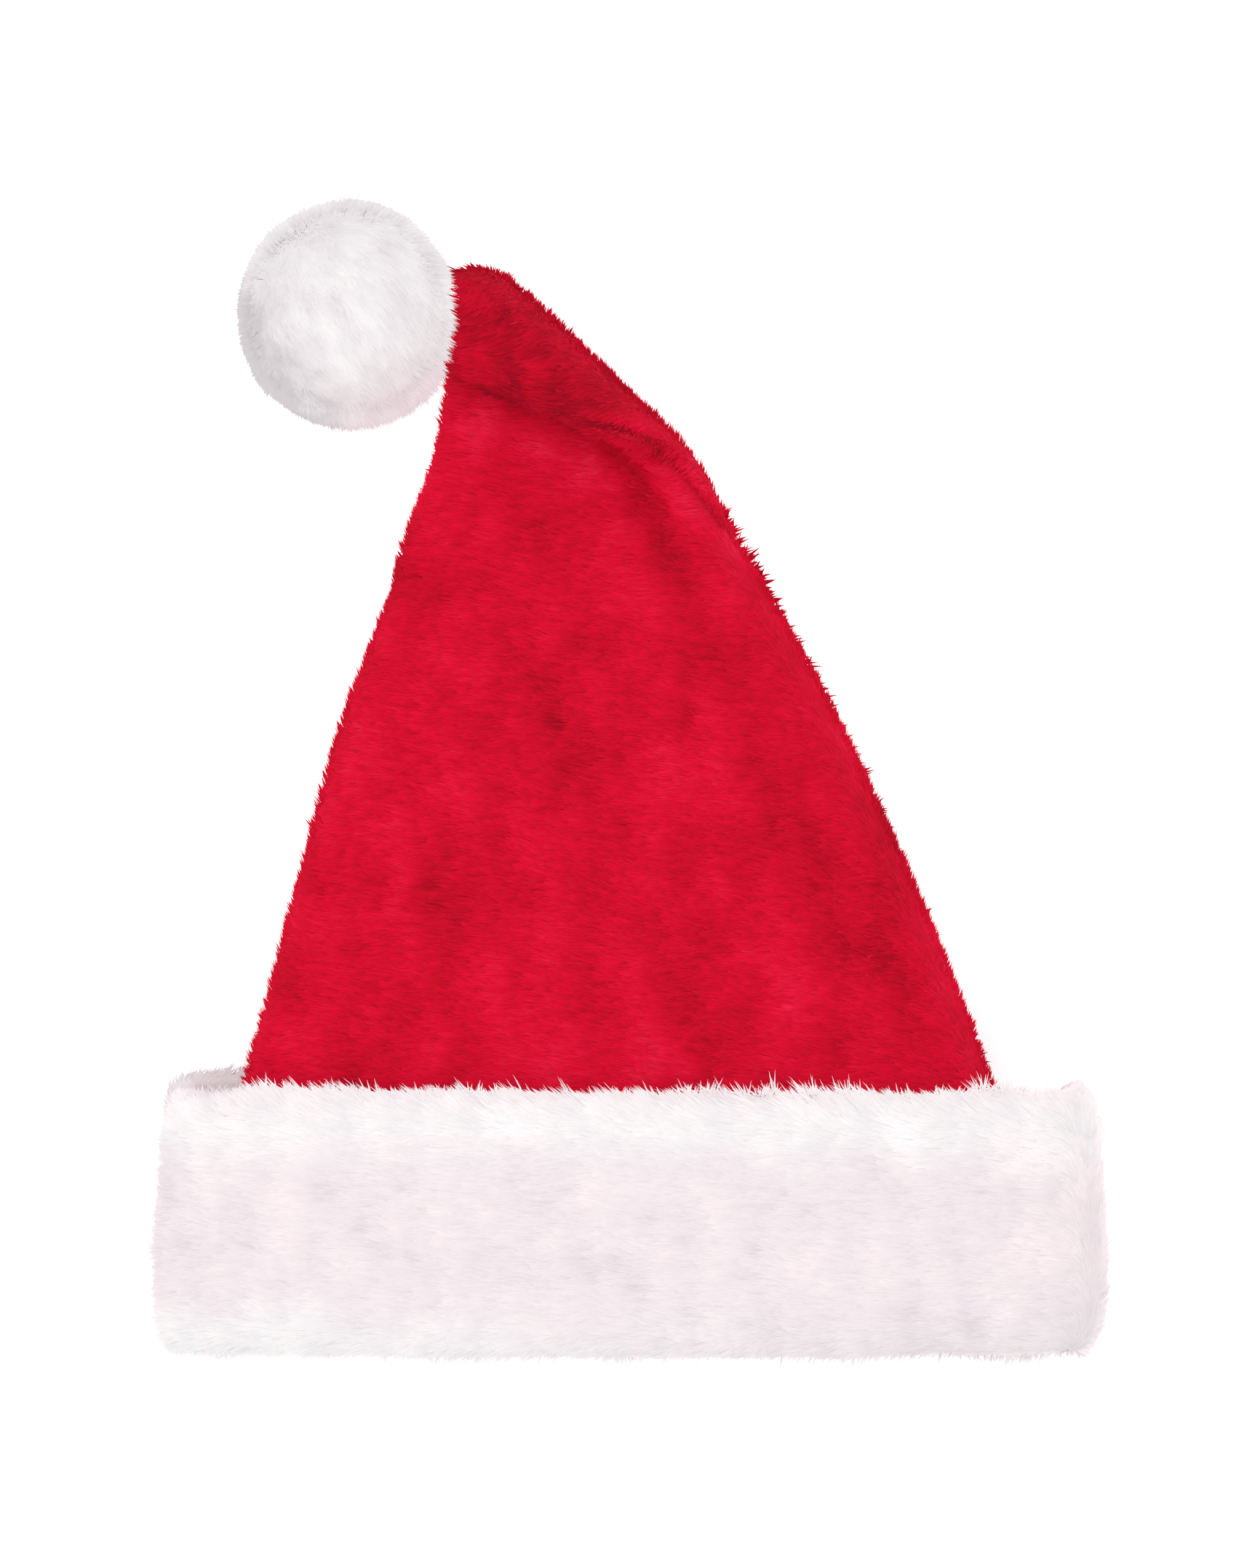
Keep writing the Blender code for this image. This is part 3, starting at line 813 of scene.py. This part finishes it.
def cuffGrid():
    # rings round the cuff, up its outer side and down its inner, with each point's level and its side
    inset = cuff["pileDepth"]
    angles = 2 * np.pi * np.arange(cuff["stations"]) / cuff["stations"]
    half = (1 - np.cos(np.pi * np.arange(cuff["levels"] + 1) / cuff["levels"])) / 2
    half = 0.6 * half + 0.4 * np.arange(cuff["levels"] + 1) / cuff["levels"]
    level = np.concatenate((half, half[-2:0:-1]))[:, None]
    side = np.concatenate((np.ones(cuff["levels"] + 1), -np.ones(cuff["levels"] - 1)))[:, None]
    c, s = np.cos(angles[None, :]), np.sin(angles[None, :])
    wall = cuff["wall"] / 2
    across = cuff["width"] / 2 - cuff["pile"] - wall - cuff["topNarrower"] * level**2
    across = across - cuff["bottomNarrower"] * (1 - smooth(0, 0.35, level)) ** 2 * np.maximum(c, 0)
    tall = (cuff["depth"] - cuff["pile"]) / 2 - wall
    power = 2 / cuff["squareness"]
    x = across * np.sign(c) * np.abs(c) ** power
    z = np.broadcast_to(tall * np.sign(s) * np.abs(s) ** power, x.shape)
    q = cuff["squareness"] - 1
    slopeX = np.sign(c) * np.abs(x / across) ** q / across
    slopeZ = np.sign(s) * np.abs(z / tall) ** q / tall
    thick = (wall - inset) * np.sqrt(np.maximum(0, 1 - np.abs(2 * level - 1) ** cuff["rounding"]))
    out = unit(np.stack((slopeX, slopeZ), axis=-1)) * (thick * side)[..., None]
    height = z + out[..., 1] + tall + wall - cuff["settled"]

    # its upper edge: lower in front, and at the left the back shows over it
    front = np.maximum(s, 0) ** power
    back = np.maximum(-s, 0) ** power
    drop = (cuff["frontDrop"] + cuff["frontSlope"] * c) * front
    drop = drop + cuff["backDrop"] * smooth(-0.45, 0.2, c) * back
    drop = drop - cuff["backRise"] * smooth(-0.3, -0.75, c) * back**0.35
    drop = drop + cuff["cornerDrop"] * smooth(-0.75, -0.95, c) * front
    x = x - cuff["cornerFlare"] * smooth(-0.8, -0.97, c) * level**6
    up = cuff["pile"] + inset + (cuff["height"] - 2 * cuff["pile"] - 2 * inset - drop) * level
    points = np.stack((x + out[..., 0], up, np.maximum(height, inset * 0.4)), axis=-1)
    level, side = (np.broadcast_to(value, x.shape).ravel() for value in (level, side))
    return points * mm + hatZero, level, side


def cuffSkin():
    grid, level, side = cuffGrid()
    mesh = ringMesh("cuffBand", grid, joined=True)
    points, normals = vertexArray(mesh), normalArray(mesh)
    outside = side > 0
    soft = lumps(points, cuff["lumpSize"] * mm, seed=8.1) * cuff["lumpHeight"] * outside
    soft += lumps(points, cuff["fineLumpSize"] * mm, seed=2.2) * cuff["fineLumpHeight"] * outside
    edgeLevel, edgeWidth, edgeHeight = cuff["turnedEdge"]
    soft += outside * edgeHeight * np.exp(-(((level - edgeLevel) / edgeWidth) ** 2))
    moved = points + normals * (soft * mm)[:, None]
    moved[:, 2] = np.maximum(moved[:, 2], 0.6 * mm)
    setVertices(mesh, moved)

    # the nap lies crosswise too, and turns outwards at the two edges
    normals = normalArray(mesh)
    crosswise = unit((np.roll(grid, -1, axis=1) - np.roll(grid, 1, axis=1)).reshape(-1, 3))
    upward = np.array((0, 1.0, 0))
    upward = unit(upward - normals * (normals @ upward)[:, None] + 1e-9)
    top, bottom = smooth(0.86, 1.0, level), smooth(0.12, 0.0, level)
    rim = outlineShare(normals, 0.05, 0.6)
    edges = unit(crosswise * 0.4 + upward * (0.15 + top - bottom)[:, None])
    rising = smooth(0.0, 0.3, crosswise[:, 2])
    along = unit(crosswise + upward * (0.1 + 0.9 * top - 0.8 * bottom * (1 - rising))[:, None])
    combPile(mesh, normals, along, upward, edges, rim, cuffPile)

    # longer pile at the upper edge, shorter at the lower one, in the corners and at the outlines
    rightCorner = smooth(0.11, 0.14, points[:, 0])
    leftCorner = smooth(-0.11, -0.125, points[:, 0]) * smooth(0.0, 0.3, normals[:, 2])
    corner = np.maximum(rightCorner, leftCorner) * top
    leftEnd = smooth(-0.6, -0.95, normals[:, 0])
    size = np.where(outside, 1.0, 0.6) * (1 - 0.3 * rim * (1 - leftEnd))
    setAttribute(mesh, "size", size * (1 + 0.3 * top - 0.6 * corner - 0.3 * bottom))

    # the back's upper edge looks over the front's at the left and lies in its shade
    shaded = smooth(0.5, 0.0, normals[:, 2]) * smooth(0.82, 0.92, level) * smooth(-0.105, -0.12, points[:, 0])
    ups = (points[:, 1] - hatZero[1]) / mm
    left = smooth(0.1, -0.12, points[:, 0])
    driftSize, driftReach = cuff["bandDrift"]
    drifted = ups + lumps(points, driftSize * mm, seed=4.4) * driftReach
    high, low = smooth(*cuff["topBand"], drifted), smooth(*cuff["lowBand"], drifted)
    middle = 1 - high - low
    # painted light at the right end and at the outlines, and the bands' painted light and shade
    paintedLight = cuff["rightLight"] * smooth(0.1, 0.13, points[:, 0]) + cuff["rimLight"] * rim
    paintedBands = cuff["middleShade"] * middle - cuff["topLight"] * high + cuff["lowShade"] * (1 - left) * low
    setAttribute(mesh, "shade", paintedBands + shaded - paintedLight)
    # a painted pink reflection of the red crown, strongest in the middle band
    pinkReflection = middle + (0.35 + 0.5 * smooth(74, 84, ups)) * high + (0.3 + 0.55 * (1 - left)) * low
    setAttribute(mesh, "pinkReflection", pinkReflection)
    return mesh, outside


# white plush: soft white strands, hardly shiny, with a faint painted pink reflection of the red crown
# in places
whitePile = pileMaterial("whitePlushPile", {
    "tints": ((-0.4, "#9E9B9B"), (0.0, "#BCBBBC"), (0.35, "#C9C9CA"), (0.65, "#CFCFCE"), (1.0, "#DAD8D8")),
    "rootShade": "#F8F8F8", "roughness": 0.8, "shine": 0.05, "pinkReflection": "#FDF1F5",
})
# its woven ground: pale grey and matt, so that gaps between strands look like their shade
whiteGround = groundMaterial("whitePlushGround", "#BEBABC", "#C6C3C4")

cuffMesh, cuffOutside = cuffSkin()
cuffBand = addObject("cuffBand", cuffMesh, (whiteGround,))
print(f"cuff band: {len(cuffMesh.polygons)} faces")

cuffFacing = smooth(-0.35, 0.1, normalArray(cuffMesh)[:, 2])
cuffUps = (vertexArray(cuffMesh)[:, 1] - hatZero[1]) / mm
frontShare = np.where(cuffOutside, cuffFacing, 0)
backShare = np.where(cuffOutside, 1 - cuffFacing, 0.3 + 0.9 * smooth(76, 84, cuffUps))
cuffPiles = [
    growPile("cuffPileFront", cuffBand, frontShare, cuffPile, whitePile),
    growPile("cuffPileBack", cuffBand, backShare,
             cuffPile | {"strands": 42000, "width": 0.72, "seed": 22}, whitePile),
]

# Pompom

pompom = {
    "radius": 35.0,
    "stretch": (0.97, 1.008, 0.99),
    "pileDepth": 3.2,
    "lumpSize": 16.0,
    "lumpHeight": 0.9,
    "floorGap": 1.2,
    "socketFrom": 300.0,  # the tip's length that sits in the ball, and the room round it
    "socketGap": 0.6,
    "socketSides": 48,
    "nap": (0.62, -0.78, 0),  # the pile runs towards the lower right, fanning out a little
    "fan": 0.3,
    # how much painted shade darkens the outlines and the lower left
    "rimShade": 0.08,
    "leftShade": 0.62,
}
pompomPile = {
    "strands": 52000, "length": 6.5, "width": 0.46, "stand": 0.36, "least": 0.2, "rimStand": 0.7,
    "rimUp": 0.4, "loose": 0.6, "clump": 0.36, "clumpSize": 4.0, "swirl": 0.35, "swirlSize": 20.0,
    "stray": 0.15, "tufts": 0.8, "mottling": 0.45, "patchSize": 7.0, "twist": 0.2, "softness": 0.9,
    "seed": 31,
}
ballRadius = pompom["radius"] - pompom["pileDepth"]


def pompomSkin():
    built = bmesh.new()
    bmesh.ops.create_icosphere(built, subdivisions=6, radius=ballRadius)
    mesh = bpy.data.meshes.new("pompomBall")
    built.to_mesh(mesh)
    built.free()
    points = vertexArray(mesh) * np.array(pompom["stretch"]) + np.array(ballCentre)
    points = points * mm + hatZero
    outward = unit(points - ballMiddle)
    bumps = lumps(points, pompom["lumpSize"] * mm, seed=5.5) * pompom["lumpHeight"] * mm
    points += outward * bumps[:, None]
    points[:, 2] = np.maximum(points[:, 2], pompom["floorGap"] * mm)
    setVertices(mesh, points)
    mesh.shade_smooth()
    return mesh


def cutSocket(ball):
    # the crown's tip sits in the ball, in a socket of its own shape
    tip = crown["rows"][-1][0]
    gap = pompom["socketGap"]
    ups = np.concatenate((spaced(pompom["socketFrom"], tip, 3), [tip + gap]))
    cutter = addObject("tipCutter", ringMesh("tipCutter", crownGrid(ups, -gap, pompom["socketSides"])[0]))
    socket = ball.modifiers.new("socket", "BOOLEAN")
    socket.operation = "DIFFERENCE"
    socket.object = cutter
    cut = evaluatedMesh(ball)
    ball.modifiers.remove(socket)
    ball.data = cut
    cut.name = "pompomBall"
    bpy.data.objects.remove(cutter)
    cut.shade_smooth()
    return cut


# pompom plush: white strands a little greyer than the cuff's, with a soft painted pink reflection of the
# red crown at the lower right
pompomWhite = pileMaterial("pompomPlushPile", {
    "tints": ((0.0, "#B2AFB1"), (0.35, "#C5C2C3"), (0.65, "#CECCCC"), (1.0, "#D6D4D5")),
    "rootShade": "#F4F4F4", "roughness": 0.8, "shine": 0.05, "pinkReflection": "#F8DCE3",
})

pompomBall = addObject("pompomBall", pompomSkin(), (whiteGround,))
# light passes through a real pompom's loose pile
pompomBall.visible_diffuse = False
ballMesh = cutSocket(pompomBall)
print(f"pompom ball: {len(ballMesh.polygons)} faces")

away = (vertexArray(ballMesh) - ballMiddle) / (np.array(pompom["stretch"]) * ballRadius * mm)
onBall = np.linalg.norm(away, axis=1) > 0.93
ballNormals = unit(away)
towards = np.array(pompom["nap"]) + pompom["fan"] * away
towards = towards - ballNormals * (towards * ballNormals).sum(axis=1)[:, None]
sideways = unit(np.cross((0, 0, 1.0), ballNormals) + 1e-9)
ballRim = outlineShare(ballNormals, 0.15, 0.6)
combPile(ballMesh, ballNormals, towards, sideways, towards, ballRim, pompomPile)
# painted shade on the lower left and at the outlines, and a painted pink reflection of the crown on the lower
# right
shadedLowerLeft = smooth(0.3, 1.0, -away[:, 0] * 0.85 - away[:, 1] * 0.5)
reflectingLowerRight = smooth(0.45, 1.0, away[:, 0] * 0.55 - away[:, 1] * 0.8)
setAttribute(ballMesh, "size", (1 - 0.25 * ballRim) * (1 + 0.28 * away[:, 0]))
setAttribute(ballMesh, "shade", pompom["rimShade"] * ballRim + pompom["leftShade"] * shadedLowerLeft)
setAttribute(ballMesh, "pinkReflection", 0.1 + 0.45 * reflectingLowerRight)
# thinner underneath
ballShare = onBall * (0.35 + 0.65 * smooth(-0.9, -0.2, ballNormals[:, 2]))
pompomStrands = growPile("pompomPile", pompomBall, ballShare, pompomPile, pompomWhite)

# Frame

bpy.data.objects.remove(strand)
for slot, pieces in (
    ("red_plush", (crownCloth, *crownPiles)),
    ("white_plush", (cuffBand, *cuffPiles)),
    ("pompom_plush", (pompomBall, pompomStrands)),
):
    for piece in pieces:
        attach(piece, "root")
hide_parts("crown")
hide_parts("cuff")
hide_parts("pompom")

# Light, floor and camera

studio = {
    "floor": "#FAFAFB",
    "floorGlow": 0.12,  # clears the hat's pink reflection from the floor
    "floorHalf": 4,  # in metres, as are the places and sizes below
    "floorHeight": -0.0003,
    "world": 1.1,
    # place, width and power of the two lights, which aim at the hat
    "lights": {"key": ((0.25, 0.8, 1.9), 1.5, 15.0), "fill": ((-0.7, -0.9, 1.6), 1.5, 10.0)},
    "lens": 180.0,
    "sensor": 36.0,
    "viewHeight": 0.4907,  # the picture's height at the hat, in metres
    "viewMiddle": (-0.001, -0.001, 0.032),
}


def addArea(name, place, size, power):
    light = bpy.data.lights.new(name, "AREA")
    light.shape = "DISK"
    light.size = size
    light.energy = power
    made = bpy.data.objects.new(name, light)
    bpy.context.scene.collection.objects.link(made)
    made.location = place
    made.rotation_euler = (-Vector(place)).to_track_quat("-Z", "Y").to_euler()


# pale paper: an even near-white without any shine, glowing a little
floorPaper, floorTree = newMaterial("paleFloor")
addSurface(floorTree, {
    "Base Color": linear(studio["floor"]), "Roughness": 1.0, "Specular IOR Level": 0.0,
    "Emission Color": (1, 1, 1, 1), "Emission Strength": studio["floorGlow"]})
half = studio["floorHalf"]
floorMesh = bpy.data.meshes.new("floor")
floorCorners = [(x * half, y * half, 0) for x, y in ((-1, -1), (1, -1), (1, 1), (-1, 1))]
floorMesh.from_pydata(floorCorners, [], [(0, 1, 2, 3)])
floor = addObject("floor", floorMesh, (floorPaper,))
floor.location.z = studio["floorHeight"]

world = bpy.context.scene.world or bpy.data.worlds.new("studio")
bpy.context.scene.world = world
world.use_nodes = True
backdrop = world.node_tree.nodes["Background"]
backdrop.inputs["Color"].default_value = (1, 1, 1, 1)
backdrop.inputs["Strength"].default_value = studio["world"]
for name, (place, size, power) in studio["lights"].items():
    addArea(name, place, size, power)

lens = bpy.data.cameras.new("camera")
lens.lens = studio["lens"]
lens.sensor_width = studio["sensor"]
lens.clip_start, lens.clip_end = 0.1, 20
camera = bpy.data.objects.new("camera", lens)
bpy.context.scene.collection.objects.link(camera)
distance = studio["viewHeight"] / studio["sensor"] * studio["lens"]
camera.location = Vector(studio["viewMiddle"]) + Vector((0, 0, distance))
bpy.context.scene.camera = camera
bpy.context.scene.view_settings.view_transform = "Standard"
print("studio: floor, two lights and the camera")
